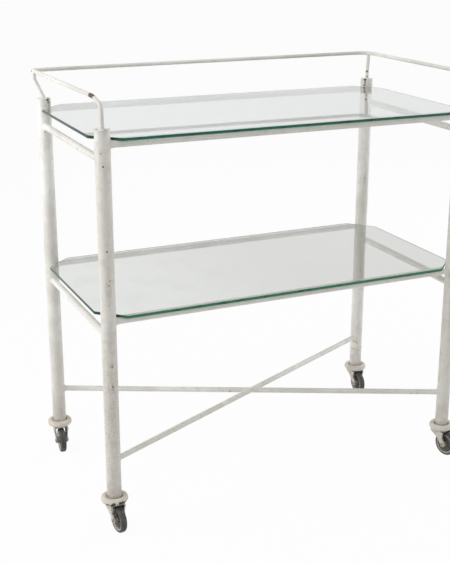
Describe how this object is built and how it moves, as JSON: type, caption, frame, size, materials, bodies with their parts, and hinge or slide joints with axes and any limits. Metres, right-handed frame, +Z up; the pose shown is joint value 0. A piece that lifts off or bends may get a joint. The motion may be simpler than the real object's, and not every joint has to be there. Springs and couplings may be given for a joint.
{
  "type": "serving trolley",
  "caption": "Tall serving trolley: a painted tube frame with glass shelves, a rod gallery open at the front, crossed braces and swivel castors.",
  "frame": {"origin": "on the floor, under the middle of the trolley's outline", "axes": "+X along the long side, to the right seen from the open front; +Y to the back; +Z up"},
  "size_m": [0.8232, 0.4508, 0.8566],
  "materials": {
    "frame_paint": "old off-white enamel, satin, yellowed, with rust chips",
    "plug_paint": "off-white enamel, worn dark round the rod ends",
    "castor_paint": "off-white enamel, dirty and worn at the edges",
    "shelf_glass": "clear float glass, polished, green seen through the edges",
    "buffer_rubber": "cream rubber, matt, scuffed",
    "bare_steel": "dull zinc-plated steel",
    "wheel_metal": "cast light alloy, dull grey",
    "tyre_rubber": "dark grey solid rubber, dusty"
  },
  "bodies": {
    "frame": {"leg_front_left": "frame_paint", "leg_front_right": "frame_paint", "leg_back_left": "frame_paint", "leg_back_right": "frame_paint", "cap_front_left": "plug_paint", "cap_front_right": "plug_paint", "cap_back_left": "plug_paint", "cap_back_right": "plug_paint", "gallery_rail": "frame_paint", "gallery_support_left": "frame_paint", "gallery_support_right": "frame_paint", "upper_front_rail": "frame_paint", "upper_back_rail": "frame_paint", "upper_left_rail": "frame_paint", "upper_right_rail": "frame_paint", "lower_front_rail": "frame_paint", "lower_back_rail": "frame_paint", "lower_left_rail": "frame_paint", "lower_right_rail": "frame_paint", "brace_long": "frame_paint", "brace_half_front": "frame_paint", "brace_half_back": "frame_paint", "foot_front_left": "bare_steel", "foot_front_right": "bare_steel", "foot_back_left": "bare_steel", "foot_back_right": "bare_steel", "buffer_front_left": "buffer_rubber", "buffer_front_right": "buffer_rubber", "buffer_back_left": "buffer_rubber", "buffer_back_right": "buffer_rubber"},
    "upper_shelf": {"upper_glass": "shelf_glass"},
    "lower_shelf": {"lower_glass": "shelf_glass"},
    "castor_front_left": {"washer_front_left": "bare_steel", "pin_front_left": "bare_steel", "fork_front_left": "castor_paint", "axle_front_left": "bare_steel"},
    "wheel_front_left": {"hub_front_left": "wheel_metal", "tyre_front_left": "tyre_rubber"},
    "castor_front_right": {"washer_front_right": "bare_steel", "pin_front_right": "bare_steel", "fork_front_right": "castor_paint", "axle_front_right": "bare_steel"},
    "wheel_front_right": {"hub_front_right": "wheel_metal", "tyre_front_right": "tyre_rubber"},
    "castor_back_left": {"washer_back_left": "bare_steel", "pin_back_left": "bare_steel", "fork_back_left": "castor_paint", "axle_back_left": "bare_steel"},
    "wheel_back_left": {"hub_back_left": "wheel_metal", "tyre_back_left": "tyre_rubber"},
    "castor_back_right": {"washer_back_right": "bare_steel", "pin_back_right": "bare_steel", "fork_back_right": "castor_paint", "axle_back_right": "bare_steel"},
    "wheel_back_right": {"hub_back_right": "wheel_metal", "tyre_back_right": "tyre_rubber"}
  },
  "joints": [
    {"name": "upper_shelf_lift", "type": "slide", "parent": "frame", "child": "upper_shelf", "axis": [0, 0, 1], "range_m": [0, 0.06]},
    {"name": "lower_shelf_lift", "type": "slide", "parent": "frame", "child": "lower_shelf", "axis": [0, 0, 1], "range_m": [0, 0.25]},
    {"name": "swivel_front_left", "type": "hinge", "parent": "frame", "child": "castor_front_left", "pos_m": [-0.385, -0.18213, 0.059], "axis": [0, 0, 1], "continuous": true},
    {"name": "roll_front_left", "type": "hinge", "parent": "castor_front_left", "child": "wheel_front_left", "pos_m": [-0.38299, -0.1985, 0.02675], "axis": [-0.9925, -0.1219, 0], "continuous": true},
    {"name": "swivel_front_right", "type": "hinge", "parent": "frame", "child": "castor_front_right", "pos_m": [0.385, -0.18213, 0.059], "axis": [0, 0, 1], "continuous": true},
    {"name": "roll_front_right", "type": "hinge", "parent": "castor_front_right", "child": "wheel_front_right", "pos_m": [0.38927, -0.19806, 0.02675], "axis": [-0.9659, -0.2588, 0], "continuous": true},
    {"name": "swivel_back_left", "type": "hinge", "parent": "frame", "child": "castor_back_left", "pos_m": [-0.385, 0.19537, 0.059], "axis": [0, 0, 1], "continuous": true},
    {"name": "roll_back_left", "type": "hinge", "parent": "castor_back_left", "child": "wheel_back_left", "pos_m": [-0.38672, 0.17897, 0.02675], "axis": [-0.9945, 0.1045, 0], "continuous": true},
    {"name": "swivel_back_right", "type": "hinge", "parent": "frame", "child": "castor_back_right", "pos_m": [0.385, 0.19537, 0.059], "axis": [0, 0, 1], "continuous": true},
    {"name": "roll_back_right", "type": "hinge", "parent": "castor_back_right", "child": "wheel_back_right", "pos_m": [0.38471, 0.17888, 0.02675], "axis": [-0.9998, 0.0175, 0], "continuous": true}
  ]
}
